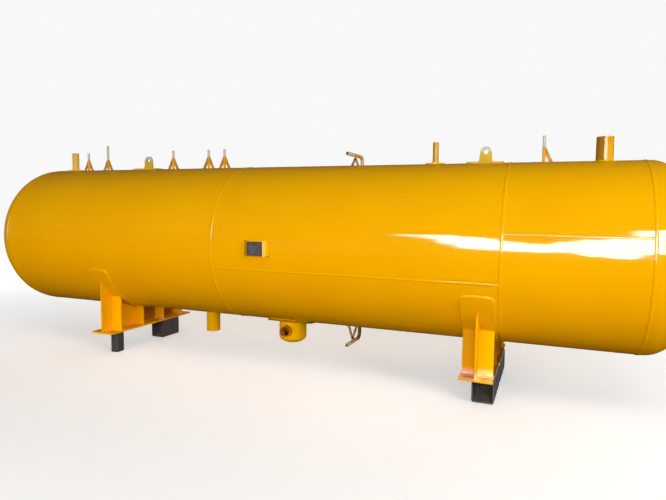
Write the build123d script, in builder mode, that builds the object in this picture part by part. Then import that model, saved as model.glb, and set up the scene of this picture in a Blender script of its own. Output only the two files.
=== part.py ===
from build123d import *
import math
import os

# Horizontal pressure tank on two saddles, in millimetres, +Z up.
# The origin is on the ground, below the middle of the vessel.

# Vessel
shell_inside_radius = 600
shell_wall = 8
left_course_length = 2050
middle_course_length = 2012
right_course_length = 786
head_flange = 25
weld_gap = 0.3

# Saddles
saddle_from_end = 919
saddle_depth = 168
pad_width = 198
pad_thickness = 10
pad_half_angle = 67
pad_corner_radius = 40
web_end_margin = 4
web_thickness = 12
web_horn_width = 12
rib_thickness = 12
rib_end_margin = 6
rib_pitch = 264
ribs_per_side = 4
base_length = 1040
base_width = 208
base_thickness = 14
anchor_slot_width = 26
anchor_slot_length = 60
anchor_spacing_x = 104
anchor_end_margin = 60

# Support blocks cut from square tube
block_height = 160
block_width = 140
block_wall = 8
block_corner = 16
block_offset = 40
right_block_inset = 96
right_block_gap = 88
left_rear_block_length = 215
left_rear_block_start = 120
post_width = 68
post_depth = 84
post_offset = 66
post_inset = 66
post_wall = 6
post_corner = 10

# Plain stubs: radius, wall, height above the shell, distance from the nearer head weld
vent_radius = 30
vent_wall = 3.5
vent_height = 166
vent_from_left = 114
return_radius = 21.2
return_wall = 3.2
return_height = 153
return_from_right = 1302
inlet_radius = 54
inlet_wall = 4.5
inlet_height = 152
inlet_from_right = 219
drain_radius = 57
drain_wall = 4.5
drain_height = 168
drain_from_left = 1661
stub_pad_thickness = 9
vent_pad_radius = 70
return_pad_radius = 66

# Small instrument nozzles and their flat braces
instrument_radius = 10.65
instrument_wall = 2.8
left_instruments = [(278, 166), (513, 223), (1252, 161), (1619, 158), (1777, 158)]
right_instrument = (583, 174)
brace_height = 100
brace_spread = 58
brace_width = 26
brace_thickness = 5

# Level gauge connections
gauge_from_seam = 944
gauge_radius = 13.45
gauge_wall = 2.9
gauge_bend_radius = 38
gauge_top_rise = 60
gauge_top_reach = 325
gauge_bottom_drop = 94
gauge_bottom_reach = 280
gauge_brace_y = -154
gauge_brace_spread = 38
gauge_brace_width = 10

# Lifting lugs
left_lug_from_end = 984
right_lug_from_end = 956
lug_width = 74
lug_foot_width = 88
lug_eye_height = 68
lug_eye_radius = 17
lug_thickness = 20
lug_pad_length = 240
lug_pad_width = 160
lug_pad_thickness = 10
lug_pad_corner = 25

# Sump pot under the middle course
sump_from_seam = 374
sump_radius = 109.5
sump_wall = 8
sump_length = 135
sump_cap_depth = 55
sump_pad_radius = 200
sump_pad_thickness = 16
sump_nozzle_radius = 44.5
sump_nozzle_wall = 5
sump_nozzle_drop = 76
sump_nozzle_reach = 152

# Nameplate and its stand-off bracket
plate_from_seam = 388
plate_width = 120
plate_height = 98
plate_thickness = 3
bracket_width = 132
bracket_height = 112
bracket_standoff = 32
bracket_foot = 32
bracket_thickness = 4

# Derived sizes
shell_radius = shell_inside_radius + shell_wall
shell_length = left_course_length + middle_course_length + right_course_length
left_end = -shell_length / 2
right_end = shell_length / 2
left_seam = left_end + left_course_length
right_seam = left_seam + middle_course_length
saddle_foot_drop = shell_radius + saddle_depth
axis_height = block_height + saddle_foot_drop
pad_inside_radius = shell_radius + weld_gap
pad_outside_radius = pad_inside_radius + pad_thickness
saddle_seat_radius = pad_outside_radius + weld_gap
base_top = block_height + base_thickness
web_half_length = base_length / 2 - web_end_margin
rib_reach = base_width / 2 - rib_end_margin
anchor_spacing_y = base_length - 2 * anchor_end_margin
left_saddle_x = left_end + saddle_from_end
right_saddle_x = right_end - saddle_from_end
right_block_start = -base_length / 2 + right_block_inset
right_block_length = -right_block_start - right_block_gap / 2
vessel_axis = Axis((0, 0, axis_height), (1, 0, 0))
vent_x = left_end + vent_from_left
drain_x = left_end + drain_from_left
gauge_x = left_seam + gauge_from_seam
sump_x = left_seam + sump_from_seam
plate_x = left_seam + plate_from_seam
return_x = right_end - return_from_right
inlet_x = right_end - inlet_from_right
right_instrument_x = right_end - right_instrument[0]

os.makedirs("parts", exist_ok=True)


def save(label, piece):
    piece.part.label = label
    export_step(piece.part, f"parts/{label}.step")


def cross_plane(x):
    """Plane across the vessel at x, centred on the vessel's axis."""
    return Plane(origin=(x, 0, axis_height), x_dir=(0, 1, 0), z_dir=(1, 0, 0))


def nozzle_plane(x, side):
    """Plane through the vessel's axis at x, facing up for side 1 and down for side -1."""
    return Plane(origin=(x, 0, axis_height), x_dir=(1, 0, 0), z_dir=(0, 0, side))


def front_plane(x, y, z):
    """Upright plane facing the front."""
    return Plane(origin=(x, y, z), x_dir=(1, 0, 0), z_dir=(0, -1, 0))


# Every hole in the shell: position, radius and side
shell_holes = [
    (vent_x, vent_radius, 1),
    (return_x, return_radius, 1),
    (inlet_x, inlet_radius, 1),
    (drain_x, drain_radius, -1),
    (gauge_x, gauge_radius, 1),
    (gauge_x, gauge_radius, -1),
    (sump_x, sump_radius, -1),
    (right_instrument_x, instrument_radius, 1),
]
for from_left, height in left_instruments:
    shell_holes.append((left_end + from_left, instrument_radius, 1))


# Shell courses: rolled plate rings, cut for the nozzles
def shell_course(start, end):
    with BuildPart() as course:
        with BuildSketch(cross_plane(start)):
            Circle(shell_radius)
            Circle(shell_inside_radius, mode=Mode.SUBTRACT)
        extrude(amount=end - start)
        for x, radius, side in shell_holes:
            if start < x < end:
                with BuildSketch(nozzle_plane(x, side)):
                    Circle(radius + weld_gap)
                extrude(amount=shell_radius + shell_wall, mode=Mode.SUBTRACT)
    return course


shell_left = shell_course(left_end, left_seam)
shell_middle = shell_course(left_seam, right_seam)
shell_right = shell_course(right_seam, right_end)
save("shell_left", shell_left)
save("shell_middle", shell_middle)
save("shell_right", shell_right)

# Heads: two to one ellipses with a straight flange
with BuildPart() as head_right:
    with BuildSketch(front_plane(right_end, 0, axis_height)):
        with BuildLine():
            inside_depth = shell_inside_radius / 2
            inside = EllipticalCenterArc((head_flange, 0), inside_depth, shell_inside_radius, start_angle=0)
            outside = EllipticalCenterArc((head_flange, 0), inside_depth + shell_wall, shell_radius, start_angle=0)
            Line(inside @ 0, outside @ 0)
            Polyline(inside @ 1, (0, shell_inside_radius), (0, shell_radius), outside @ 1)
        make_face()
    revolve(axis=vessel_axis)
save("head_right", head_right)

with BuildPart() as head_left:
    mirror(head_right.part, about=Plane.YZ)
save("head_left", head_left)


# Saddles
def saddle_pad(x):
    with BuildPart() as pad:
        with BuildSketch(cross_plane(x)):
            with BuildLine():
                start = -90 - pad_half_angle
                inner = CenterArc((0, 0), pad_inside_radius, start, 2 * pad_half_angle)
                outer = CenterArc((0, 0), pad_outside_radius, start, 2 * pad_half_angle)
                Line(inner @ 0, outer @ 0)
                Line(inner @ 1, outer @ 1)
            make_face()
        extrude(amount=pad_width / 2, both=True)
        ends = pad.faces().filter_by(GeomType.PLANE).filter_by(Axis.X, reverse=True)
        corners = ends.edges().filter_by(Axis.X, reverse=True)
        fillet(corners, pad_corner_radius)
    return pad


def saddle_web(x):
    horn_y = web_half_length - web_horn_width
    horn_top = axis_height - math.sqrt(saddle_seat_radius ** 2 - horn_y ** 2)
    height = horn_top - base_top
    with BuildPart() as web:
        with BuildSketch(cross_plane(x)):
            with Locations((0, base_top + height / 2 - axis_height)):
                Rectangle(2 * web_half_length, height)
            Circle(saddle_seat_radius, mode=Mode.SUBTRACT)
        extrude(amount=web_thickness / 2, both=True)
    return web


def saddle_ribs(x):
    rib_width = rib_reach - web_thickness / 2
    rib_middle = (rib_reach + web_thickness / 2) / 2
    with BuildPart() as ribs:
        with BuildSketch(Plane.XY.offset(base_top)):
            with Locations((x - rib_middle, 0), (x + rib_middle, 0)):
                with GridLocations(0, rib_pitch, 1, ribs_per_side):
                    Rectangle(rib_width, rib_thickness)
        extrude(amount=axis_height - base_top)
        with BuildSketch(cross_plane(x)):
            Circle(saddle_seat_radius)
        extrude(amount=rib_reach + weld_gap, both=True, mode=Mode.SUBTRACT)
    return ribs


def saddle_base(x):
    with BuildPart() as base:
        with BuildSketch(Plane.XY.offset(block_height)):
            with Locations((x, 0)):
                Rectangle(base_width, base_length)
                with GridLocations(anchor_spacing_x, anchor_spacing_y, 2, 2):
                    SlotOverall(anchor_slot_length, anchor_slot_width, mode=Mode.SUBTRACT)
        extrude(amount=base_thickness)
    return base


for side, x in (("left", left_saddle_x), ("right", right_saddle_x)):
    save(f"saddle_{side}_pad", saddle_pad(x))
    save(f"saddle_{side}_web", saddle_web(x))
    save(f"saddle_{side}_ribs", saddle_ribs(x))
    save(f"saddle_{side}_base", saddle_base(x))


# Support blocks: lengths of square tube under the base plates, open at both ends
def tube_block(x, start_y, length):
    middle = Plane(origin=(x, start_y, block_height / 2), x_dir=(-1, 0, 0), z_dir=(0, 1, 0))
    with BuildPart() as block:
        with BuildSketch(middle):
            RectangleRounded(block_width, block_height, block_corner)
            inner_width = block_width - 2 * block_wall
            inner_height = block_height - 2 * block_wall
            RectangleRounded(inner_width, inner_height, block_corner - block_wall, mode=Mode.SUBTRACT)
        extrude(amount=length)
    return block


block_right_front = tube_block(right_saddle_x + block_offset, right_block_start, right_block_length)
save("block_right_front", block_right_front)

with BuildPart() as block_right_rear:
    mirror(block_right_front.part, about=Plane.XZ)
save("block_right_rear", block_right_rear)

block_left_rear = tube_block(left_saddle_x + block_offset, left_rear_block_start, left_rear_block_length)
save("block_left_rear", block_left_rear)

with BuildPart() as block_left_front:
    with BuildSketch():
        with Locations((left_saddle_x + post_offset, -base_length / 2 + post_inset + post_depth / 2)):
            RectangleRounded(post_width, post_depth, post_corner)
            post_inner = (post_width - 2 * post_wall, post_depth - 2 * post_wall)
            RectangleRounded(*post_inner, post_corner - post_wall, mode=Mode.SUBTRACT)
    extrude(amount=block_height)
save("block_left_front", block_left_front)


# Straight stubs: pipe set through the shell, flush with the inside
def pipe_stub(x, side, radius, wall, height):
    with BuildPart() as stub:
        with BuildSketch(nozzle_plane(x, side)):
            Circle(radius)
            Circle(radius - wall, mode=Mode.SUBTRACT)
        extrude(amount=shell_radius + height)
        with BuildSketch(cross_plane(x)):
            Circle(shell_inside_radius)
        extrude(amount=2 * radius, both=True, mode=Mode.SUBTRACT)
    return stub


save("vent_stub", pipe_stub(vent_x, 1, vent_radius, vent_wall, vent_height))
save("return_stub", pipe_stub(return_x, 1, return_radius, return_wall, return_height))
save("inlet_stub", pipe_stub(inlet_x, 1, inlet_radius, inlet_wall, inlet_height))
save("drain_stub", pipe_stub(drain_x, -1, drain_radius, drain_wall, drain_height))

for number, (from_left, height) in enumerate(left_instruments, start=1):
    nozzle = pipe_stub(left_end + from_left, 1, instrument_radius, instrument_wall, height)
    save(f"instrument_nozzle_{number}", nozzle)
last_instrument = pipe_stub(right_instrument_x, 1, instrument_radius, instrument_wall, right_instrument[1])
save("instrument_nozzle_6", last_instrument)


# Curved reinforcing pads: round or rectangular, wrapped on the shell
def shell_wrap(x, thickness, length):
    """Ring that lies on the shell, one weld gap above it, for cutting pads out of."""
    with BuildPart() as ring:
        with BuildSketch(cross_plane(x - length / 2)):
            Circle(shell_radius + weld_gap + thickness)
            Circle(shell_radius + weld_gap, mode=Mode.SUBTRACT)
        extrude(amount=length)
    return ring.part


def round_pad(x, side, pad_radius, hole_radius, thickness):
    wrap = shell_wrap(x, thickness, 2 * pad_radius + thickness)
    with BuildPart() as pad:
        with BuildSketch(nozzle_plane(x, side)):
            Circle(pad_radius)
            Circle(hole_radius + weld_gap, mode=Mode.SUBTRACT)
        extrude(amount=shell_radius + 2 * thickness)
        add(wrap, mode=Mode.INTERSECT)
    return pad


vent_pad = round_pad(vent_x, 1, vent_pad_radius, vent_radius, stub_pad_thickness)
return_pad = round_pad(return_x, 1, return_pad_radius, return_radius, stub_pad_thickness)
save("vent_pad", vent_pad)
save("return_pad", return_pad)


# Flat braces that run from a pipe down to the shell
def brace_leg(foot_plane, direction, pipe_side, top, spread, width):
    """Flat bar that slopes from the pipe's side to its foot, in the plane of the foot level."""
    slope = top / (spread - pipe_side)
    with BuildPart() as leg:
        with BuildSketch(foot_plane):
            with BuildLine():
                Polyline(
                    (direction * pipe_side, top),
                    (direction * spread, 0),
                    (direction * (spread - width), 0),
                    (direction * pipe_side, top - width * slope),
                    close=True,
                )
            make_face()
        extrude(amount=brace_thickness / 2, both=True)
    return leg.part


def instrument_leg(x, direction):
    foot_level = axis_height + shell_radius + weld_gap
    foot_plane = front_plane(x, 0, foot_level)
    pipe_side = instrument_radius + weld_gap
    return brace_leg(foot_plane, direction, pipe_side, brace_height, brace_spread, brace_width)


instrument_legs = [instrument_leg(right_instrument_x, 1)]
for from_left, nozzle_height in left_instruments:
    instrument_legs.append(instrument_leg(left_end + from_left, -1))
    instrument_legs.append(instrument_leg(left_end + from_left, 1))
with BuildPart() as nozzle_braces:
    add(instrument_legs)
save("nozzle_braces", nozzle_braces)


# Level gauge connections: pipe with one bend towards the front
def gauge_pipe(side, rise, reach):
    run_level = axis_height + side * (shell_radius + rise)
    start_level = axis_height + side * (shell_inside_radius - gauge_radius)
    with BuildPart() as pipe:
        with BuildLine():
            corner = (gauge_x, 0, run_level)
            FilletPolyline((gauge_x, 0, start_level), corner, (gauge_x, -reach, run_level), radius=gauge_bend_radius)
        with BuildSketch(Plane((gauge_x, 0, start_level), x_dir=(1, 0, 0), z_dir=(0, 0, side))):
            Circle(gauge_radius)
            Circle(gauge_radius - gauge_wall, mode=Mode.SUBTRACT)
        sweep()
        with BuildSketch(cross_plane(gauge_x)):
            Circle(shell_inside_radius)
        extrude(amount=2 * gauge_radius, both=True, mode=Mode.SUBTRACT)
    return pipe


save("gauge_pipe_top", gauge_pipe(1, gauge_top_rise, gauge_top_reach))
save("gauge_pipe_bottom", gauge_pipe(-1, gauge_bottom_drop, gauge_bottom_reach))


def gauge_brace(side, rise):
    """Two legs from the run of pipe back to the shell, spread like a letter A."""
    run_side = shell_radius + rise - gauge_radius - weld_gap
    foot = math.sqrt(shell_radius ** 2 - gauge_brace_y ** 2) - gauge_brace_width
    foot_level = axis_height + side * foot
    foot_plane = Plane(origin=(gauge_x, gauge_brace_y, foot_level), x_dir=(side, 0, 0), z_dir=(0, -1, 0))
    legs = []
    for direction in (-1, 1):
        leg = brace_leg(foot_plane, direction, weld_gap, run_side - foot, gauge_brace_spread, gauge_brace_width)
        legs.append(leg)
    with BuildPart() as brace:
        add(legs)
        with BuildSketch(cross_plane(gauge_x)):
            Circle(shell_radius + weld_gap)
        extrude(amount=gauge_brace_spread * 2, both=True, mode=Mode.SUBTRACT)
    return brace


save("gauge_brace_top", gauge_brace(1, gauge_top_rise))
save("gauge_brace_bottom", gauge_brace(-1, gauge_bottom_drop))


# Lifting lugs: a round-topped plate with an eye, on a curved pad
def lifting_lug(x):
    foot_radius = shell_radius + lug_pad_thickness + 2 * weld_gap
    with BuildPart() as lug:
        with BuildSketch(front_plane(x, 0, axis_height + foot_radius)):
            with BuildLine():
                half_foot = lug_foot_width / 2
                half_width = lug_width / 2
                Polyline((-half_width, lug_eye_height), (-half_foot, 0), (half_foot, 0), (half_width, lug_eye_height))
                RadiusArc((half_width, lug_eye_height), (-half_width, lug_eye_height), -half_width)
            make_face()
            with Locations((0, lug_eye_height)):
                Circle(lug_eye_radius, mode=Mode.SUBTRACT)
        extrude(amount=lug_thickness / 2, both=True)
    return lug


def lug_pad(x):
    wrap = shell_wrap(x, lug_pad_thickness, lug_pad_length + lug_pad_thickness)
    with BuildPart() as pad:
        with BuildSketch(nozzle_plane(x, 1)):
            RectangleRounded(lug_pad_length, lug_pad_width, lug_pad_corner)
        extrude(amount=shell_radius + 2 * lug_pad_thickness)
        add(wrap, mode=Mode.INTERSECT)
    return pad


for side, x in (("left", left_end + left_lug_from_end), ("right", right_end - right_lug_from_end)):
    save(f"lifting_lug_{side}", lifting_lug(x))
    save(f"lug_pad_{side}", lug_pad(x))

# Sump pot: a short drop leg with a domed cap and a side nozzle to the front
sump_bottom = shell_radius + sump_length
sump_nozzle_level = axis_height - shell_radius - sump_nozzle_drop
with BuildPart() as sump_pot:
    with BuildSketch(nozzle_plane(sump_x, -1)):
        Circle(sump_radius)
        Circle(sump_radius - sump_wall, mode=Mode.SUBTRACT)
    extrude(amount=sump_bottom)
    with BuildSketch(cross_plane(sump_x)):
        Circle(shell_inside_radius)
    extrude(amount=2 * sump_radius, both=True, mode=Mode.SUBTRACT)
    with BuildSketch(front_plane(sump_x, 0, sump_nozzle_level)):
        Circle(sump_nozzle_radius + weld_gap)
    extrude(amount=2 * sump_radius, mode=Mode.SUBTRACT)
save("sump_pot", sump_pot)

with BuildPart() as sump_cap:
    with BuildSketch(front_plane(sump_x, 0, axis_height - sump_bottom)):
        with BuildLine():
            cap_bore = sump_radius - sump_wall
            cap_inside = EllipticalCenterArc((0, 0), cap_bore, sump_cap_depth - sump_wall, start_angle=-90)
            cap_outside = EllipticalCenterArc((0, 0), sump_radius, sump_cap_depth, start_angle=-90)
            Line(cap_inside @ 0, cap_outside @ 0)
            Line(cap_inside @ 1, cap_outside @ 1)
        make_face()
    revolve(axis=Axis((sump_x, 0, 0), (0, 0, 1)))
save("sump_cap", sump_cap)

save("sump_pad", round_pad(sump_x, -1, sump_pad_radius, sump_radius, sump_pad_thickness))

with BuildPart() as sump_nozzle:
    with BuildSketch(front_plane(sump_x, 0, sump_nozzle_level)):
        Circle(sump_nozzle_radius)
        Circle(sump_nozzle_radius - sump_nozzle_wall, mode=Mode.SUBTRACT)
    extrude(amount=sump_nozzle_reach)
    with BuildSketch(nozzle_plane(sump_x, -1)):
        Circle(sump_radius - sump_wall)
    extrude(amount=sump_bottom, mode=Mode.SUBTRACT)
save("sump_nozzle", sump_nozzle)

# Nameplate on a bent bracket that stands off the shell at its middle height
bracket_low = axis_height - bracket_height / 2
half_bracket = bracket_width / 2
with BuildPart() as nameplate_bracket:
    with BuildSketch(Plane(origin=(plate_x, 0, bracket_low), x_dir=(1, 0, 0), z_dir=(0, 0, 1))):
        with BuildLine():
            foot_y = -shell_radius - weld_gap - bracket_thickness / 2
            face_y = -shell_radius - bracket_standoff + bracket_thickness / 2
            wall_x = half_bracket - bracket_thickness / 2
            Polyline((-half_bracket - bracket_foot, foot_y), (-wall_x, foot_y), (-wall_x, face_y),
                     (wall_x, face_y), (wall_x, foot_y), (half_bracket + bracket_foot, foot_y))
        trace(line_width=bracket_thickness)
    extrude(amount=bracket_height)
save("nameplate_bracket", nameplate_bracket)

with BuildPart() as nameplate:
    with BuildSketch(front_plane(plate_x, -shell_radius - bracket_standoff - weld_gap, axis_height)):
        Rectangle(plate_width, plate_height)
    extrude(amount=plate_thickness)
save("nameplate", nameplate)
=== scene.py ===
"""Horizontal pressure tank: weld beads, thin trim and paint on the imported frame, in a pale studio."""

import math

import bpy
from mathutils import Matrix, Vector


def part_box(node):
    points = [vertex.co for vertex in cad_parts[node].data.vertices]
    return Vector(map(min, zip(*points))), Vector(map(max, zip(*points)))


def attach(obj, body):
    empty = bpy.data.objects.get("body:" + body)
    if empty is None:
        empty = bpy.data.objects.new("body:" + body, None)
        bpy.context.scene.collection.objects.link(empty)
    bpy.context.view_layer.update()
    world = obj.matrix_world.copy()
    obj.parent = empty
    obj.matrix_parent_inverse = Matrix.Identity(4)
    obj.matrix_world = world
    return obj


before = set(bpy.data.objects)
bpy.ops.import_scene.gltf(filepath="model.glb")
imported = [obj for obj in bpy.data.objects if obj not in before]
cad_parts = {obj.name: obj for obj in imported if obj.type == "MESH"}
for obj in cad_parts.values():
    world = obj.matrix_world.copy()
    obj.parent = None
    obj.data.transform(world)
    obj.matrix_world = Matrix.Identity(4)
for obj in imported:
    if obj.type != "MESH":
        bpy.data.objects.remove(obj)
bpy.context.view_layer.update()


def middle_x(node):
    low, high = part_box(node)
    return (low.x + high.x) / 2


def half_width(node):
    low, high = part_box(node)
    return (high.x - low.x) / 2


# Places read from the frame, in metres
course_low, course_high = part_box("shell_middle")
AXIS_HEIGHT = (course_low.z + course_high.z) / 2
SHELL_RADIUS = (course_high.z - course_low.z) / 2
SHELL_TOP = AXIS_HEIGHT + SHELL_RADIUS
LEFT_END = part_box("shell_left")[0].x
LEFT_SEAM = course_low.x
RIGHT_SEAM = course_high.x
RIGHT_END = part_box("shell_right")[1].x
VENT_X, RETURN_X, INLET_X = middle_x("vent_stub"), middle_x("return_stub"), middle_x("inlet_stub")
DRAIN_X, SUMP_X, GAUGE_X = middle_x("drain_stub"), middle_x("sump_pot"), middle_x("gauge_pipe_top")
BASE_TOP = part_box("saddle_left_base")[1].z
PLATE_LOW, PLATE_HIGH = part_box("nameplate")

# Sizes of the CAD model that its boxes don't give
PAD_THICKNESS = 0.010
STUB_PAD_THICKNESS = 0.009
SUMP_PAD_THICKNESS = 0.016
LUG_PAD_CORNER = 0.025
SADDLE_PAD_CORNER = 0.040
RIB_ROWS = (-0.396, -0.132, 0.132, 0.396)
RIB_HALF = 0.006
INSTRUMENT_NOZZLES = [f"instrument_nozzle_{number}" for number in range(1, 7)]
BRACE_REACH = 0.058
BRACE_HALF_THICKNESS = 0.0025
BRACE_FOOT_HALF = 0.014
GAUGE_BRACE_REACH = 0.038
GAUGE_BRACE_Y = -0.154
GAUGE_BRACE_LEG_HALF = 0.006
LUG_EYE_RISE = 0.0786

# Weld beads: width and height
GIRTH_BEAD = (0.021, 0.0042)
SEAM_BEAD = (0.017, 0.0036)
DRESSED_BEAD = (0.016, 0.0026)
FILLET_BEAD = (0.014, 0.0060)
PAD_BEAD = (0.024, 0.0100)
SMALL_FILLET = (0.008, 0.0035)
BEAD_STEP = 0.006
BEAD_SINK = 0.0012
BEAD_SECTIONS = 6
BEAD_RIPPLES = ((0.16, 2.1, 0.0), (0.10, 0.37, 1.3))
RIPPLE_IN_WIDTH = 0.3
SMALLEST_RING = 24
NOZZLE_RING = 48

# Front flanges of the gauge pipes' braces, which are small angle bars
FLANGE_WIDTH = 0.018
FLANGE_THICKNESS = 0.003
FLANGE_CLEARANCE = 0.0002

# Camera, solved from the photograph's edges
CAMERA_PLACE = (1.8948, -3.8517, 1.2191)
CAMERA_YAW = 0.3835
CAMERA_PITCH = -0.0772
CAMERA_ROLL = -0.0129
FOCAL_PIXELS = 535.4
PHOTO_WIDTH = 666
SENSOR_WIDTH = 36


# Paths for beads: lists of (point, outward direction)
def on_shell(x, angle, radius):
    """Point and normal on a cylinder round the vessel's axis; angle 0 is the top, positive to the front."""
    normal = Vector((0, -math.sin(angle), math.cos(angle)))
    return Vector((x, 0, AXIS_HEIGHT)) + normal * radius, normal


def on_shell_height(y, side, radius=SHELL_RADIUS):
    """Height of a cylinder round the vessel's axis at y, above the axis for side 1 and below it for -1."""
    return AXIS_HEIGHT + side * math.sqrt(radius ** 2 - y ** 2)


def girth_path(x):
    count = int(2 * math.pi * SHELL_RADIUS / BEAD_STEP)
    return [on_shell(x, 2 * math.pi * i / count, SHELL_RADIUS) for i in range(count)]


def seam_path(start, end, angle):
    count = int((end - start) / BEAD_STEP)
    return [on_shell(start + (end - start) * i / count, angle, SHELL_RADIUS) for i in range(count + 1)]


def straight_path(start, end, normal):
    start, end, normal = Vector(start), Vector(end), Vector(normal).normalized()
    count = max(2, int((end - start).length / BEAD_STEP))
    return [(start.lerp(end, i / count), normal) for i in range(count + 1)]


def collar_path(x, side, radius, seat_radius=SHELL_RADIUS):
    """Ring where an upright pipe or round pad meets a cylinder round the vessel's axis."""
    count = max(SMALLEST_RING, int(2 * math.pi * radius / BEAD_STEP))
    path = []
    for i in range(count):
        turn = 2 * math.pi * i / count
        out = Vector((math.cos(turn), math.sin(turn), 0))
        y = radius * out.y
        rise = math.sqrt(seat_radius ** 2 - y ** 2)
        point = Vector((x + radius * out.x, y, AXIS_HEIGHT + side * rise))
        seat_normal = Vector((0, y, side * rise)).normalized()
        path.append((point, (out + seat_normal).normalized()))
    return path


def sump_nozzle_path():
    """Ring where the side nozzle meets the sump pot."""
    low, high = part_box("sump_nozzle")
    height, radius = (low.z + high.z) / 2, (high.z - low.z) / 2
    pot_radius = half_width("sump_pot")
    path = []
    for i in range(NOZZLE_RING):
        turn = 2 * math.pi * i / NOZZLE_RING
        out = Vector((math.cos(turn), 0, math.sin(turn)))
        seat = Vector((radius * out.x, -math.sqrt(pot_radius ** 2 - (radius * out.x) ** 2), 0))
        point = Vector((SUMP_X + seat.x, seat.y, height + radius * out.z))
        path.append((point, (out + seat.normalized()).normalized()))
    return path


def pad_edge(node, middle_angle, half_arc, corner):
    """Outline of a rounded rectangular pad bent round the shell; half_arc is measured along the shell."""
    x, half_length = middle_x(node), half_width(node)
    corner_steps = 8
    outline = []
    for sign_u, sign_v, start in ((1, 1, 0), (-1, 1, 90), (-1, -1, 180), (1, -1, 270)):
        centre = Vector((sign_u * (half_length - corner), sign_v * (half_arc - corner)))
        for i in range(corner_steps + 1):
            turn = math.radians(start + 90 * i / corner_steps)
            out = Vector((math.cos(turn), math.sin(turn)))
            outline.append((centre + out * corner, out))
    path = []
    for i, (flat, out) in enumerate(outline):
        following, following_out = outline[(i + 1) % len(outline)]
        count = max(1, int((following - flat).length / BEAD_STEP))
        for j in range(count):
            place = flat.lerp(following, j / count)
            away = out.lerp(following_out, j / count).normalized()
            point, normal = on_shell(x + place.x, middle_angle + place.y / SHELL_RADIUS, SHELL_RADIUS)
            along = Vector((0, -normal.z, normal.y))
            path.append((point, (normal + Vector((away.x, 0, 0)) + along * away.y).normalized()))
    return path


def arc_path(x, start, end, radius, lean):
    """Arc round the vessel's axis, with its outward direction leaning by lean along the vessel."""
    count = max(2, int(abs(end - start) * radius / BEAD_STEP))
    path = []
    for i in range(count + 1):
        point, normal = on_shell(x, start + (end - start) * i / count, radius)
        path.append((point, (normal + Vector((lean, 0, 0))).normalized()))
    return path


def saddle_paths(side):
    """Web to pad, web to base, and each rib to web, base and pad."""
    web_low, web_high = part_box(f"saddle_{side}_web")
    rib_low, rib_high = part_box(f"saddle_{side}_ribs")
    seat, foot = SHELL_RADIUS + PAD_THICKNESS, web_low.z
    half_spread = math.asin(web_high.y / seat)
    paths = []
    for web_x, rib_x, facing in ((web_low.x, rib_low.x, -1), (web_high.x, rib_high.x, 1)):
        paths.append(arc_path(web_x, math.pi - half_spread, math.pi + half_spread, seat, facing))
        paths.append(straight_path((web_x, web_low.y, foot), (web_x, web_high.y, foot), (facing, 0, 1)))
        for row in RIB_ROWS:
            top = on_shell_height(row, -1, seat)
            for y, away in ((row - RIB_HALF, -1), (row + RIB_HALF, 1)):
                paths.append(straight_path((web_x, y, foot), (web_x, y, top), (facing, away, 0)))
                paths.append(straight_path((web_x, y, foot), (rib_x, y, foot), (0, away, 1)))
                paths.append(straight_path((web_x, y, top), (rib_x, y, top), (0, away, -1)))
    return paths


def lug_paths(side):
    """The four sides of a lug's foot."""
    low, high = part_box(f"lifting_lug_{side}")
    paths = []
    for y, away in ((low.y, -1), (high.y, 1)):
        paths.append(straight_path((low.x, y, low.z), (high.x, y, low.z), (0, away, 1)))
    for x, away in ((low.x, -1), (high.x, 1)):
        paths.append(straight_path((x, low.y, low.z), (x, high.y, low.z), (away, 0, 1)))
    return paths


def brace_foot_paths(x, reach, y, side):
    """Front and back of both feet of a flat brace that stands on the shell."""
    paths = []
    for foot_x in (x - reach, x + reach):
        for away in (-1, 1):
            foot_y = y + away * BRACE_HALF_THICKNESS
            foot_z = on_shell_height(foot_y, side)
            start = (foot_x - BRACE_FOOT_HALF, foot_y, foot_z)
            end = (foot_x + BRACE_FOOT_HALF, foot_y, foot_z)
            paths.append(straight_path(start, end, (0, away, side)))
    return paths


# Pieces that the scene adds to the frame
added_pieces = []


def new_object(name, verts, faces):
    mesh = bpy.data.meshes.new(name)
    mesh.from_pydata(verts, [], faces)
    thing = bpy.data.objects.new(name, mesh)
    bpy.context.scene.collection.objects.link(thing)
    return thing


def add_piece(name, verts, faces):
    piece = new_object(name, verts, faces)
    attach(piece, "root")
    added_pieces.append(piece)
    return piece


def add_beads(name, runs, size, closed=False):
    """Low rounded beads along the runs, as one piece."""
    width, height = size
    ring = BEAD_SECTIONS + 1
    verts, faces = [], []
    for run in runs:
        first = len(verts)
        count = len(run)
        for i, (point, normal) in enumerate(run):
            before = run[i - 1][0] if closed or i > 0 else point
            after = run[(i + 1) % count][0] if closed or i < count - 1 else point
            along = (after - before).normalized()
            across = along.cross(normal).normalized()
            swell = sum((share * math.sin(rate * i + phase) for share, rate, phase in BEAD_RIPPLES), 1)
            for k in range(ring):
                turn = math.pi * k / BEAD_SECTIONS
                side = across * (math.cos(turn) * width / 2 * (1 + RIPPLE_IN_WIDTH * (swell - 1)))
                lift = normal * (math.sin(turn) * height * swell - BEAD_SINK)
                verts.append(point + side + lift)
        for i in range(count if closed else count - 1):
            here = first + i * ring
            there = first + (i + 1) % count * ring
            for k in range(BEAD_SECTIONS):
                faces.append((here + k, there + k, there + k + 1, here + k + 1))
            faces.append((here + BEAD_SECTIONS, there + BEAD_SECTIONS, there, here))
        if not closed:
            last = first + (count - 1) * ring
            faces.append(tuple(first + k for k in range(ring)))
            faces.append(tuple(last + ring - 1 - k for k in range(ring)))
    mesh = add_piece(name, verts, faces).data
    mesh.validate()
    mesh.shade_smooth()


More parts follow.
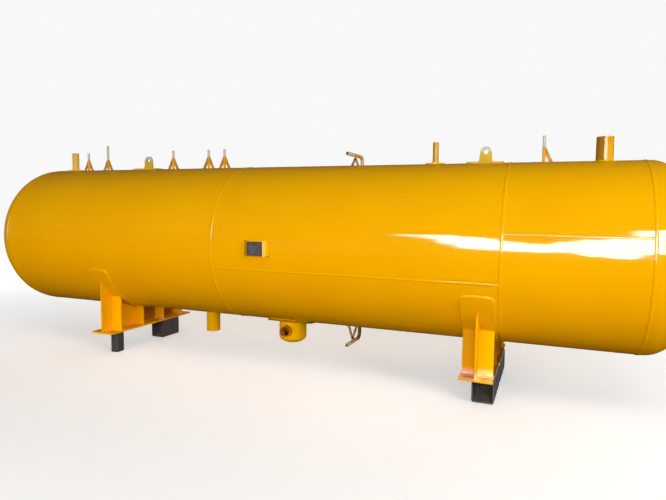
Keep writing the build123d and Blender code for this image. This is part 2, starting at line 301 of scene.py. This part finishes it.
# Ring seams
add_beads("weld_head_left", [girth_path(LEFT_END)], DRESSED_BEAD, closed=True)
add_beads("weld_girth_left", [girth_path(LEFT_SEAM)], GIRTH_BEAD, closed=True)
add_beads("weld_girth_right", [girth_path(RIGHT_SEAM)], GIRTH_BEAD, closed=True)
add_beads("weld_head_right", [girth_path(RIGHT_END)], GIRTH_BEAD, closed=True)

# Long seams: ends, degrees from the top towards the front, and bead
LONG_SEAMS = (
    (LEFT_END, LEFT_SEAM, 83, DRESSED_BEAD),
    (LEFT_SEAM, RIGHT_SEAM, 105, SEAM_BEAD),
    (RIGHT_SEAM, RIGHT_END, 76, SEAM_BEAD),
)
for number, (start, end, angle, size) in enumerate(LONG_SEAMS, start=1):
    add_beads(f"weld_long_seam_{number}", [seam_path(start, end, math.radians(angle))], size)

# Collars of the stubs, the nozzles and their round pads
on_stub_pad = SHELL_RADIUS + STUB_PAD_THICKNESS
stub_collars = [
    collar_path(VENT_X, 1, half_width("vent_stub"), on_stub_pad),
    collar_path(VENT_X, 1, half_width("vent_pad")),
    collar_path(RETURN_X, 1, half_width("return_stub"), on_stub_pad),
    collar_path(RETURN_X, 1, half_width("return_pad")),
    collar_path(INLET_X, 1, half_width("inlet_stub")),
    collar_path(DRAIN_X, -1, half_width("drain_stub")),
    collar_path(SUMP_X, -1, half_width("sump_pad")),
]
add_beads("weld_stub_collars", stub_collars, FILLET_BEAD, closed=True)
small_collars = [collar_path(middle_x(node), 1, half_width(node)) for node in INSTRUMENT_NOZZLES]
small_collars.append(collar_path(GAUGE_X, 1, half_width("gauge_pipe_top")))
small_collars.append(collar_path(GAUGE_X, -1, half_width("gauge_pipe_bottom")))
add_beads("weld_small_collars", small_collars, SMALL_FILLET, closed=True)

# Edges of the pads that are wrapped round the shell
lug_pad_edges, saddle_pad_edges = [], []
for side in ("left", "right"):
    node = f"lug_pad_{side}"
    half_arc = math.asin(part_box(node)[1].y / (SHELL_RADIUS + PAD_THICKNESS)) * SHELL_RADIUS
    lug_pad_edges.append(pad_edge(node, 0, half_arc, LUG_PAD_CORNER))
    node = f"saddle_{side}_pad"
    half_arc = math.acos((AXIS_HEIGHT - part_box(node)[1].z) / SHELL_RADIUS) * SHELL_RADIUS
    saddle_pad_edges.append(pad_edge(node, math.pi, half_arc, SADDLE_PAD_CORNER))
add_beads("weld_saddle_pads", saddle_pad_edges, PAD_BEAD, closed=True)
add_beads("weld_lug_pads", lug_pad_edges, FILLET_BEAD, closed=True)

# Sump
pot_collar = collar_path(SUMP_X, -1, half_width("sump_pot"), SHELL_RADIUS + SUMP_PAD_THICKNESS)
add_beads("weld_sump_pot", [pot_collar], FILLET_BEAD, closed=True)
add_beads("weld_sump_nozzle", [sump_nozzle_path()], FILLET_BEAD, closed=True)

# Saddles, lugs and the feet of the flat braces
add_beads("weld_saddle_left", saddle_paths("left"), SMALL_FILLET)
add_beads("weld_saddle_right", saddle_paths("right"), SMALL_FILLET)
add_beads("weld_lugs", lug_paths("left") + lug_paths("right"), FILLET_BEAD)
foot_paths = []
for node in INSTRUMENT_NOZZLES:
    foot_paths += brace_foot_paths(middle_x(node), BRACE_REACH, 0.0, 1)
for side in (1, -1):
    foot_paths += brace_foot_paths(GAUGE_X, GAUGE_BRACE_REACH, GAUGE_BRACE_Y, side)
add_beads("weld_brace_feet", foot_paths, SMALL_FILLET)


def flat_bar(verts, faces, start, end, front):
    """Bar in the plane y = front, as wide as a flange and with its thickness towards the back."""
    along = (end - start).normalized()
    across = Vector((along.z, 0, -along.x)) * FLANGE_WIDTH / 2
    first = len(verts)
    for y in (front, front + FLANGE_THICKNESS):
        for corner in (start - across, start + across, end + across, end - across):
            verts.append((corner.x, y, corner.z))
    sides = ((0, 1, 2, 3), (7, 6, 5, 4), (0, 4, 5, 1), (1, 5, 6, 2), (2, 6, 7, 3), (3, 7, 4, 0))
    faces.extend(tuple(first + k for k in corners) for corners in sides)


for name, rise in (("gauge_brace_top", 1), ("gauge_brace_bottom", -1)):
    low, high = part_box(name)
    tip_z = high.z - GAUGE_BRACE_LEG_HALF if rise > 0 else low.z + GAUGE_BRACE_LEG_HALF
    tip = Vector((middle_x(name), 0, tip_z))
    verts, faces = [], []
    for foot_x in (low.x + GAUGE_BRACE_LEG_HALF, high.x - GAUGE_BRACE_LEG_HALF):
        foot = Vector((foot_x, 0, on_shell_height(low.y, rise)))
        flat_bar(verts, faces, foot, tip, low.y - FLANGE_THICKNESS - FLANGE_CLEARANCE)
    add_piece(f"{name}_flange", verts, faces)


# Nodes of the materials
def new_material(name):
    material = bpy.data.materials.new(name)
    material.use_nodes = True
    tree = material.node_tree
    return material, tree, tree.nodes["Principled BSDF"]


def set_inputs(node, values):
    for name, value in values.items():
        node.inputs[name].default_value = value


def object_coordinates(tree):
    return tree.nodes.new("ShaderNodeTexCoord").outputs["Object"]


def component(tree, vector, axis):
    node = tree.nodes.new("ShaderNodeSeparateXYZ")
    tree.links.new(vector, node.inputs["Vector"])
    return node.outputs[axis]


def place_along(tree, axis):
    return component(tree, object_coordinates(tree), axis)


def noise(tree, scale, detail, roughness=0.5):
    node = tree.nodes.new("ShaderNodeTexNoise")
    set_inputs(node, {"Scale": scale, "Detail": detail, "Roughness": roughness})
    tree.links.new(object_coordinates(tree), node.inputs["Vector"])
    return node.outputs["Fac"]


def ramp(tree, value, stops):
    node = tree.nodes.new("ShaderNodeValToRGB")
    elements = node.color_ramp.elements
    for element, (position, colour) in zip(elements, (stops[0], stops[-1])):
        element.position, element.color = position, (*colour, 1)
    for position, colour in stops[1:-1]:
        elements.new(position).color = (*colour, 1)
    tree.links.new(value, node.inputs["Fac"])
    return node.outputs["Color"]


def two_tone(tree, tones, scale):
    """Soft patches of two tones."""
    return ramp(tree, noise(tree, scale, 3), tuple(zip(TONE_LEVELS, tones)))


def fade(tree, value, none_at, full_at, lowest=0.0, highest=1.0):
    """Lowest where the value is none_at, rising to highest at full_at."""
    node = tree.nodes.new("ShaderNodeMapRange")
    set_inputs(node, {"From Min": none_at, "From Max": full_at, "To Min": lowest, "To Max": highest})
    tree.links.new(value, node.inputs["Value"])
    return node.outputs["Result"]


def calculate(tree, operation, first, second=None):
    """Math node; either input may be a socket or a number."""
    node = tree.nodes.new("ShaderNodeMath")
    node.operation = operation
    for socket, value in zip(node.inputs, (first, second)):
        if isinstance(value, (int, float)):
            socket.default_value = value
        elif value is not None:
            tree.links.new(value, socket)
    return node.outputs["Value"]


def mixed(tree, share, first, second):
    """Blend of two colours by share; first is a socket, second a plain colour."""
    node = tree.nodes.new("ShaderNodeMix")
    node.data_type = "RGBA"
    colour_inputs = [socket for socket in node.inputs if socket.type == "RGBA"]
    colour_inputs[1].default_value = (*second, 1)
    tree.links.new(share, node.inputs["Factor"])
    tree.links.new(first, colour_inputs[0])
    return next(socket for socket in node.outputs if socket.type == "RGBA")


def bump(tree, height, distance, under=None):
    node = tree.nodes.new("ShaderNodeBump")
    set_inputs(node, {"Distance": distance})
    tree.links.new(height, node.inputs["Height"])
    if under:
        tree.links.new(under, node.inputs["Normal"])
    return node.outputs["Normal"]


# Colours
YELLOW = (0.90, 0.440, 0.0)
YELLOW_DEEP = (0.87, 0.415, 0.0)
CLEAN_TONES = (YELLOW_DEEP, YELLOW)
# Lighter copy of the yellow: painted light on the sump and the left saddle
PAINTED_LIGHT_TONES = ((0.98, 0.470, 0.0), (1.0, 0.500, 0.0))
SHADED_TONES = ((0.34, 0.150, 0.004), (0.46, 0.205, 0.004))
# Right saddle: tones painted darker left of the web as its shade, and lighter right of it as light
PAINTED_SHADE_SIDE_TONES = ((0.83, 0.375, 0.004), (0.85, 0.385, 0.004))  # of the right saddle
PAINTED_LIGHT_SIDE_TONE = (1.0, 0.535, 0.0)  # of the right saddle
# Painted shade under the vessel, on the saddle webs
UNDER_VESSEL_SHADE = (0.46, 0.190, 0.012)
OCHRE_TONES = ((0.62, 0.285, 0.012), (0.76, 0.365, 0.020))
VENT_TONES = ((0.72, 0.400, 0.045), (0.86, 0.490, 0.064))
RETURN_TONES = ((0.56, 0.300, 0.030), (0.66, 0.370, 0.045))
# Painted shade on the left side of the inlet and return stubs
PAINTED_SHADE_OCHRE = (0.36, 0.175, 0.010)
KHAKI_TONES = ((0.60, 0.37, 0.030), (0.70, 0.44, 0.040))
BROWN_TONES = ((0.30, 0.125, 0.012), (0.60, 0.290, 0.020))
GREY_BROWN_TONES = ((0.20, 0.115, 0.040), (0.36, 0.240, 0.110))
PALE_LEG = (0.60, 0.50, 0.20)
# Upright leg of the lower gauge pipe: dark brown painted shade
PAINTED_SHADE_LEG = (0.24, 0.105, 0.020)
# Painted highlight on the bracket right of the plate, and painted shadow beside and below the plate
PAINTED_HIGHLIGHT_GOLD = (1.0, 0.740, 0.150)
BRACKET_PAINTED_SHADOW = (0.50, 0.235, 0.008)
DULL_METAL = (0.58, 0.56, 0.45)
PALE_METAL = (0.62, 0.57, 0.32)
DUST = (0.78, 0.42, 0.30)
# Dust of the right saddle, painted paler as lit, and yellower right of the web as lit
PALE_DUST_PAINTED_LIT = (1.0, 0.64, 0.46)
YELLOW_DUST_PAINTED_LIT = (1.0, 0.86, 0.36)
BLOCK_DUST = (0.17, 0.115, 0.075)
PLATE_RIM = (0.090, 0.036, 0.012)

# Ramps: noise level and colour
PRIMER_STOPS = ((0.42, YELLOW_DEEP), (0.50, (0.75, 0.28, 0.02)), (0.60, (0.50, 0.14, 0.02)))
RUST_STOPS = (
    (0.35, (0.020, 0.016, 0.015)),
    (0.55, (0.045, 0.030, 0.024)),
    (0.75, (0.11, 0.055, 0.030)),
)
PLATE_STOPS = (
    (0.35, (0.045, 0.042, 0.062)),
    (0.5, (0.055, 0.065, 0.062)),
    (0.65, (0.095, 0.085, 0.105)),
)
BLOCK_DUST_STOPS = ((0.30, (0.35, 0.35, 0.35)), (0.55, (1, 1, 1)))
PIPE_STOPS = ((0.35, BROWN_TONES[1]), (0.6, OCHRE_TONES[1]))
TONE_LEVELS = (0.3, 0.6)

# The paint's patches, sag and orange peel: noise scales, and depths in metres
PAINT_PATCHES = 2.3
STUB_PATCHES = 5.0
SHADED_PATCHES = 9.0
LUG_PATCHES = 12.0
BRACE_PATCHES = 22.0
SAG_SCALE, SAG_DEPTH = 1.4, 0.006
PEEL_SCALE, PEEL_DEPTH = 140, 0.00012

# Dust on the saddles: scale of its patches, and the noise levels where it starts and is full
DUST_PATCHES = 17
LEFT_DUST = (0.54, 0.66)
RIGHT_DUST = (0.34, 0.48)

# Painted shade under the vessel, darker paint on the saddles: places along y of none and all of a colour,
# from front to back
LEFT_SHADE_UNDER_VESSEL = ((-0.135, -0.120, UNDER_VESSEL_SHADE), (0.330, 0.400, YELLOW))
RIGHT_SHADE_UNDER_VESSEL = ((-0.386, -0.374, UNDER_VESSEL_SHADE), (0.374, 0.386, YELLOW))

# Where things lie on the paint, in metres; a pair runs from none of it to all of it
DUST_FADE = 0.045
DUST_SEAT = (-0.003, -0.001)
BARE_TIP_RISE = 0.098
BARE_EDGE = 0.006
# Edge of the painted shade left of a stub's middle, and its shift on the return stub
PAINTED_SHADE_EDGE = (0.006, -0.012)
RETURN_SHADE_SHIFT = -0.004
# Soft edge at the right saddle's web between painted shade and painted light
SIDE_EDGE = 0.002
# Widths of the painted shadow beside and below the nameplate, and of the painted highlight strip right of it
SHADOW_EDGE_LEFT = 0.004
SHADOW_EDGE_BELOW = 0.003
STRIP_START = (0.0, 0.003)
STRIP_END = (0.014, 0.010)
PIPE_LEG = (-0.11, -0.05)
PIPE_BARE_END = (-0.17, -0.23)

# Rim of the nameplate, as shares of the plate's size from its middle
RIM_START, RIM_FULL = 0.36, 0.44

# Height of the normal of faces that dust begins to settle on, and of those that it covers
LYING_START, LYING_FULL = 0.6, 0.95


def enamel(name, coat, tones=CLEAN_TONES, patches=PAINT_PATCHES, bare_above=None, shaded_left_of=None):
    """Paint in two tones; it may give way to dull bare metal above a height, and to painted shade left of an
    x.
    """
    material, tree, shader = new_material(name)
    colour = two_tone(tree, tones, patches)
    if bare_above is not None:
        bare = fade(tree, place_along(tree, "Z"), bare_above - BARE_EDGE, bare_above + BARE_EDGE)
        colour = mixed(tree, bare, colour, DULL_METAL)
    # Painted shade left of an x
    if shaded_left_of is not None:
        left_shade = fade(tree, place_along(tree, "X"), *(shaded_left_of + offset for offset in PAINTED_SHADE_EDGE))
        colour = mixed(tree, left_shade, colour, PAINTED_SHADE_OCHRE)
    tree.links.new(colour, shader.inputs["Base Color"])
    set_inputs(shader, {"Roughness": 0.42, "Specular IOR Level": 0.0})
    set_inputs(shader, {"Coat Weight": coat, "Coat Roughness": 0.06})
    sag = bump(tree, noise(tree, SAG_SCALE, 2), SAG_DEPTH)
    peel = bump(tree, noise(tree, PEEL_SCALE, 1), PEEL_DEPTH, sag)
    tree.links.new(peel, shader.inputs["Normal"])
    tree.links.new(peel, shader.inputs["Coat Normal"])
    return material


def dust_and_painted_light(name, dust_levels, tones, web_x=None, shade_under_vessel=()):
    """Saddle paint, with dust in patches that lies on the base and thins out above it.

    Where web_x is given, the paint right of it takes a lighter tone as painted light, and the
    tones given, left of it, are darker as painted shade; the dust is paler, and yellower on the
    right, painted as lit. The last argument lists painted shade under the vessel along y: where
    each colour starts, where it is full, and the colour.
    """
    material, tree, shader = new_material(name)
    height = place_along(tree, "Z")
    colour = two_tone(tree, tones, PAINT_PATCHES)
    settled = fade(tree, height, *(BASE_TOP + offset for offset in DUST_SEAT))
    lowness = fade(tree, height, BASE_TOP + DUST_FADE, BASE_TOP)
    stops = tuple(zip(dust_levels, ((0, 0, 0), (1, 1, 1))))
    patches = ramp(tree, noise(tree, DUST_PATCHES, 3, 0.6), stops)
    dust = calculate(tree, "MULTIPLY", calculate(tree, "MULTIPLY", settled, lowness), patches)
    if web_x is None:
        colour = mixed(tree, dust, colour, DUST)
    else:
        # Painted light right of the web and painted shade left of it, also in the dust
        right = fade(tree, place_along(tree, "X"), web_x - SIDE_EDGE, web_x + SIDE_EDGE)
        colour = mixed(tree, dust, mixed(tree, right, colour, PAINTED_LIGHT_SIDE_TONE), PALE_DUST_PAINTED_LIT)
        colour = mixed(tree, calculate(tree, "MULTIPLY", right, dust), colour, YELLOW_DUST_PAINTED_LIT)
    # Painted shade under the vessel, along y
    for none_at, full_at, tint in shade_under_vessel:
        colour = mixed(tree, fade(tree, place_along(tree, "Y"), none_at, full_at), colour, tint)
    tree.links.new(colour, shader.inputs["Base Color"])
    set_inputs(shader, {"Roughness": 0.5, "Specular IOR Level": 0.0})
    set_inputs(shader, {"Coat Weight": 0.08, "Coat Roughness": 0.15})
    return material


def primed(name):
    """Yellow paint worn through to red primer in spots."""
    material, tree, shader = new_material(name)
    tree.links.new(ramp(tree, noise(tree, 26, 4, 0.6), PRIMER_STOPS), shader.inputs["Base Color"])
    set_inputs(shader, {"Roughness": 0.5, "Specular IOR Level": 0.05})
    return material


def rusty_steel(name):
    """Dark rust, with dust on what faces up."""
    material, tree, shader = new_material(name)
    rust = ramp(tree, noise(tree, 9, 6, 0.65), RUST_STOPS)
    upward = component(tree, tree.nodes.new("ShaderNodeNewGeometry").outputs["Normal"], "Z")
    patches = ramp(tree, noise(tree, 14, 3, 0.6), BLOCK_DUST_STOPS)
    dust = calculate(tree, "MULTIPLY", fade(tree, upward, LYING_START, LYING_FULL), patches)
    tree.links.new(mixed(tree, dust, rust, BLOCK_DUST), shader.inputs["Base Color"])
    set_inputs(shader, {"Roughness": 0.72, "Metallic": 0.15})
    tree.links.new(bump(tree, noise(tree, 60, 5), 0.0008), shader.inputs["Normal"])
    return material


def plate_grey(name):
    """Grey plate with a brown tarnished rim."""
    material, tree, shader = new_material(name)
    rims = []
    for axis, start, end in (("X", PLATE_LOW.x, PLATE_HIGH.x), ("Z", PLATE_LOW.z, PLATE_HIGH.z)):
        from_middle = calculate(tree, "SUBTRACT", place_along(tree, axis), (start + end) / 2)
        offset = calculate(tree, "ABSOLUTE", from_middle)
        rims.append(fade(tree, offset, RIM_START * (end - start), RIM_FULL * (end - start)))
    face = ramp(tree, noise(tree, 38, 3), PLATE_STOPS)
    rim = calculate(tree, "MAXIMUM", *rims)
    tree.links.new(mixed(tree, rim, face, PLATE_RIM), shader.inputs["Base Color"])
    set_inputs(shader, {"Metallic": 0.3, "Roughness": 0.42})
    return material


def bracket_enamel(name):
    """Yellow paint, with a painted shadow beside and below the plate and a painted highlight strip on its
    right.
    """
    material, tree, shader = new_material(name)
    x, z = place_along(tree, "X"), place_along(tree, "Z")
    # Painted shadow left of and below the plate, and a painted highlight strip right of it
    left = fade(tree, x, PLATE_LOW.x + SHADOW_EDGE_LEFT, PLATE_LOW.x - SHADOW_EDGE_LEFT)
    below = fade(tree, z, PLATE_LOW.z + SHADOW_EDGE_BELOW, PLATE_LOW.z - SHADOW_EDGE_BELOW)
    strip_start = fade(tree, x, *(PLATE_HIGH.x + offset for offset in STRIP_START))
    strip_end = fade(tree, x, *(PLATE_HIGH.x + offset for offset in STRIP_END))
    strip = calculate(tree, "MULTIPLY", strip_start, strip_end)
    paint = two_tone(tree, CLEAN_TONES, PAINT_PATCHES)
    shadowed = mixed(tree, calculate(tree, "MAXIMUM", left, below), paint, BRACKET_PAINTED_SHADOW)
    tree.links.new(mixed(tree, strip, shadowed, PAINTED_HIGHLIGHT_GOLD), shader.inputs["Base Color"])
    set_inputs(shader, {"Roughness": 0.45, "Specular IOR Level": 0.0})
    set_inputs(shader, {"Coat Weight": 0.15, "Coat Roughness": 0.1})
    return material


def weathered_pipe(name, leg_tone):
    """Ochre paint on a bent pipe, with its own tone on the upright leg and bare metal at the free end."""
    material, tree, shader = new_material(name)
    y = place_along(tree, "Y")
    leg = mixed(tree, fade(tree, y, *PIPE_LEG), ramp(tree, noise(tree, 30, 3), PIPE_STOPS), leg_tone)
    bare_end = mixed(tree, fade(tree, y, *PIPE_BARE_END), leg, PALE_METAL)
    tree.links.new(bare_end, shader.inputs["Base Color"])
    set_inputs(shader, {"Roughness": 0.5, "Specular IOR Level": 0.05})
    return material


paint = enamel("yellow_enamel", 0.35)
# Sump paint, painted lighter as lit
painted_light_paint = enamel("yellow_enamel_painted_light", 0.20, PAINTED_LIGHT_TONES)
tip_height, eye_height = SHELL_TOP + BARE_TIP_RISE, SHELL_TOP + LUG_EYE_RISE
nozzle_paint = enamel("yellow_enamel_bare_tip", 0.04, OCHRE_TONES, STUB_PATCHES, tip_height)
lug_paint = enamel("khaki_enamel", 0.0, KHAKI_TONES, LUG_PATCHES, eye_height)
brace_paint = enamel("brown_enamel", 0.02, BROWN_TONES, BRACE_PATCHES)
# The inlet and return stubs are painted darker left of their middle, as shade
inlet_paint = enamel("ochre_enamel", 0.16, OCHRE_TONES, STUB_PATCHES, shaded_left_of=INLET_X)
return_shade_x = RETURN_X + RETURN_SHADE_SHIFT
return_paint = enamel("dull_ochre_enamel_shaded_left", 0.05, RETURN_TONES, STUB_PATCHES, shaded_left_of=return_shade_x)
# Left saddle: dust on paint painted lighter as lit
left_saddle_paint = dust_and_painted_light("yellow_enamel_dusty_left", LEFT_DUST, PAINTED_LIGHT_TONES)
# The left web also has painted shade under the vessel
left_web_paint = dust_and_painted_light("yellow_enamel_dusty_left_web", LEFT_DUST, PAINTED_LIGHT_TONES, shade_under_vessel=LEFT_SHADE_UNDER_VESSEL)
right_web_x = middle_x("saddle_right_web")
# Right saddle: dust, painted shade and light left and right of the web, and painted shade under the vessel
right_saddle_paint = dust_and_painted_light("yellow_enamel_dusty_right", RIGHT_DUST, PAINTED_SHADE_SIDE_TONES, right_web_x, RIGHT_SHADE_UNDER_VESSEL)

# The first beginning that fits a name gives its finish
FINISHES = (
    ("instrument_nozzle", nozzle_paint),
    ("lifting_lug", lug_paint),
    ("lug_pad", lug_paint),
    ("weld_lug", lug_paint),
    ("nozzle_braces", brace_paint),
    ("weld_brace_feet", brace_paint),
    ("gauge_brace", enamel("grey_brown_enamel", 0.0, GREY_BROWN_TONES, BRACE_PATCHES)),
    ("gauge_pipe_top", weathered_pipe("ochre_pipe_pale_leg", PALE_LEG)),
    # Its upright leg is painted dark brown as shade
    ("gauge_pipe_bottom", weathered_pipe("ochre_pipe_shaded_leg", PAINTED_SHADE_LEG)),
    ("inlet_stub", inlet_paint),
    ("vent_stub", enamel("pale_ochre_enamel", 0.05, VENT_TONES, STUB_PATCHES)),
    ("return_stub", return_paint),
    ("sump_pad", enamel("yellow_enamel_shaded", 0.04, SHADED_TONES, SHADED_PATCHES)),
    ("sump_nozzle", primed("yellow_enamel_worn")),
    # The sump and its welds take the paint painted lighter as lit
    ("sump_", painted_light_paint),
    ("weld_sump", painted_light_paint),
    ("saddle_left_pad", paint),
    ("saddle_right_pad", paint),
    ("saddle_left_web", left_web_paint),
    ("saddle_left", left_saddle_paint),
    ("weld_saddle_left", left_saddle_paint),
    ("saddle_right", right_saddle_paint),
    ("weld_saddle_right", right_saddle_paint),
    ("block_", rusty_steel("dark_rusty_steel")),
    # Bracket paint with a painted shadow and a painted highlight
    ("nameplate_bracket", bracket_enamel("yellow_enamel_bracket_painted_light")),
    ("nameplate", plate_grey("nameplate_grey")),
    ("", paint),
)


def finish_for(name):
    return next(finish for beginning, finish in FINISHES if name.startswith(beginning))


for node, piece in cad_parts.items():
    piece.data.materials.clear()
    piece.data.materials.append(finish_for(node))
for piece in added_pieces:
    piece.data.materials.append(finish_for(piece.name))


# Floor, which glows more and more with distance, and backdrop
def stage_piece(name, verts, faces, material):
    """Part of the surroundings that the vessel neither mirrors nor is lit by."""
    piece = new_object(name, verts, faces)
    piece.data.materials.append(material)
    piece.visible_glossy = False
    piece.visible_diffuse = False
    return piece


FLOOR_HALF = 80
GLOW_START, GLOW_END = 2.0, 9.0
GLOW_NEAR, GLOW_FAR = 0.48, 0.99
WALL_X, WALL_Y, WALL_HEIGHT = 70, 30, 40
floor_material, tree, shader = new_material("pale_floor")
set_inputs(shader, {"Base Color": (0.86, 0.86, 0.86, 1), "Roughness": 0.9, "Specular IOR Level": 0.0})
set_inputs(shader, {"Emission Color": (0.9, 0.9, 0.9, 1)})
distance = tree.nodes.new("ShaderNodeVectorMath")
distance.operation = "LENGTH"
tree.links.new(object_coordinates(tree), distance.inputs[0])
floor_glow = fade(tree, distance.outputs["Value"], GLOW_START, GLOW_END, GLOW_NEAR, GLOW_FAR)
tree.links.new(floor_glow, shader.inputs["Emission Strength"])
floor_corners = [(x * FLOOR_HALF, y * FLOOR_HALF, 0) for x, y in ((-1, -1), (1, -1), (1, 1), (-1, 1))]
floor = stage_piece("floor", floor_corners, [(0, 1, 2, 3)], floor_material)

backdrop_material, tree, shader = new_material("pale_backdrop")
set_inputs(shader, {"Base Color": (0.0, 0.0, 0.0, 1), "Specular IOR Level": 0.0})
set_inputs(shader, {"Emission Color": (0.94, 0.94, 0.94, 1), "Emission Strength": 1.0})
wall_plan = [(-WALL_X, WALL_Y), (WALL_X, WALL_Y), (WALL_X, -WALL_Y), (-WALL_X, -WALL_Y)]
wall_corners = [(x, y, z) for z in (0, WALL_HEIGHT) for x, y in wall_plan]
walls = [(i, (i + 1) % 4, 4 + (i + 1) % 4, 4 + i) for i in range(4)]
backdrop = stage_piece("backdrop", wall_corners, walls, backdrop_material)


# Lights
def area_light(name, place, target, size, radiance, colour=(1, 1, 1), diffuse=True, glossy=True):
    light = bpy.data.lights.new(name, "AREA")
    light.shape = "RECTANGLE"
    light.color = colour
    light.size, light.size_y = size
    light.energy = radiance * math.pi * light.size * light.size_y
    lamp = bpy.data.objects.new(name, light)
    aim = Vector(target) - Vector(place)
    lamp.location = place
    lamp.rotation_euler = aim.to_track_quat("-Z", "Y").to_euler()
    lamp.visible_diffuse = diffuse
    lamp.visible_glossy = glossy
    bpy.context.scene.collection.objects.link(lamp)


def window(name, y, panes):
    """Upright panes that are only mirrored: middle, width, lowest and highest point, and radiance."""
    for number, (x, width, low, high, radiance) in enumerate(panes, start=1):
        place, target = (x, y, (low + high) / 2), (x, 0.0, (low + high) / 2)
        area_light(f"{name}_{number}", place, target, (width, high - low), radiance, diffuse=False)


FRONT_WINDOW_Y, BACK_WINDOW_Y = -6.0, 7.0
FRONT_PANES = (
    (-0.35, 0.50, 2.98, 3.24, 40),
    (0.08, 0.36, 2.76, 3.20, 70),
    (0.42, 0.34, 2.10, 3.20, 78),
    (0.82, 0.46, 1.65, 3.05, 75),
    (1.28, 0.46, 1.52, 2.62, 70),
    (1.74, 0.46, 1.52, 2.42, 70),
    (2.14, 0.36, 1.60, 2.75, 70),
    (2.52, 0.40, 1.25, 3.25, 70),
    (2.94, 0.44, 1.15, 3.75, 70),
    (3.45, 0.58, 1.70, 4.70, 70),
    (4.30, 1.10, 1.70, 4.90, 60),
)
# Behind the vessel, so far right that the photograph's view mirrors none of them
BACK_PANES = (
    (5.2, 0.9, 2.3, 3.5, 45),
    (6.3, 0.9, 2.1, 3.7, 45),
    (7.4, 0.9, 2.2, 3.6, 45),
)
window("window_pane", FRONT_WINDOW_Y, FRONT_PANES)
area_light("front_softbox", (0.5, -7.5, 1.0), (0.5, 0.0, 1.0), (9.4, 1.8), 7.5, glossy=False)
window("back_pane", BACK_WINDOW_Y, BACK_PANES)
area_light("left_pane", (-7.9, -3.1, 1.7), (-2.7, 0.0, 1.7), (0.5, 2.6), 11.0, diffuse=False)

# The other softboxes, none of them mirrored: place, target, size and radiance
SOFTBOXES = {
    "overhead_softbox": ((1.0, -2.6, 4.6), (1.0, 0.0, 1.2), (9.0, 2.0), 0.62),
    "back_softbox": ((0.0, 7.5, 1.5), (0.0, 0.0, 1.0), (8.0, 2.4), 7.0),
    "left_softbox": ((-8.0, 4.5, 1.6), (-1.5, 0.0, 1.0), (2.5, 2.4), 5.0),
    "right_fill": ((3.6, -2.4, 3.6), (2.5, 0.0, 1.3), (1.4, 1.4), 3.0),
    "right_softbox": ((7.5, -4.0, 2.4), (0.0, 0.0, 1.0), (2.2, 2.2), 15.0),
}
for name, (place, target, size, radiance) in SOFTBOXES.items():
    area_light(name, place, target, size, radiance, glossy=False)
BOUNCE_PLACE, BOUNCE_TARGET = (0.8, -2.0, 0.03), (0.8, -2.0, 1.0)
BOUNCE_COLOUR = (1.0, 0.22, 0.05)
area_light("ground_bounce", BOUNCE_PLACE, BOUNCE_TARGET, (7.0, 2.2), 0.32, BOUNCE_COLOUR, glossy=False)

# Faint surroundings, from straight below to straight above
SKY_STRENGTH = 0.1
SKY_STOPS = (
    (0.0, (0.12, 0.08, 0.05)),
    (0.42, (0.30, 0.22, 0.16)),
    (0.55, (0.9, 0.9, 0.9)),
    (1.0, (0.6, 0.6, 0.6)),
)
world = bpy.data.worlds.new("studio")
bpy.context.scene.world = world
world.use_nodes = True
tree = world.node_tree
direction = tree.nodes.new("ShaderNodeTexCoord").outputs["Generated"]
sky = ramp(tree, fade(tree, component(tree, direction, "Z"), -1.0, 1.0), SKY_STOPS)
background = tree.nodes["Background"]
tree.links.new(sky, background.inputs["Color"])
set_inputs(background, {"Strength": SKY_STRENGTH})

# Camera
camera_data = bpy.data.cameras.new("camera")
camera_data.sensor_width = SENSOR_WIDTH
camera_data.lens = FOCAL_PIXELS / PHOTO_WIDTH * SENSOR_WIDTH
camera = bpy.data.objects.new("camera", camera_data)
pitched = Matrix.Rotation(CAMERA_YAW, 4, "Z") @ Matrix.Rotation(CAMERA_PITCH, 4, "X")
rolled = pitched @ Matrix.Rotation(CAMERA_ROLL, 4, "Y")
camera.matrix_world = Matrix.Translation(CAMERA_PLACE) @ rolled @ Matrix.Rotation(math.radians(90), 4, "X")
bpy.context.scene.collection.objects.link(camera)
bpy.context.scene.camera = camera
bpy.context.scene.view_settings.view_transform = "Standard"
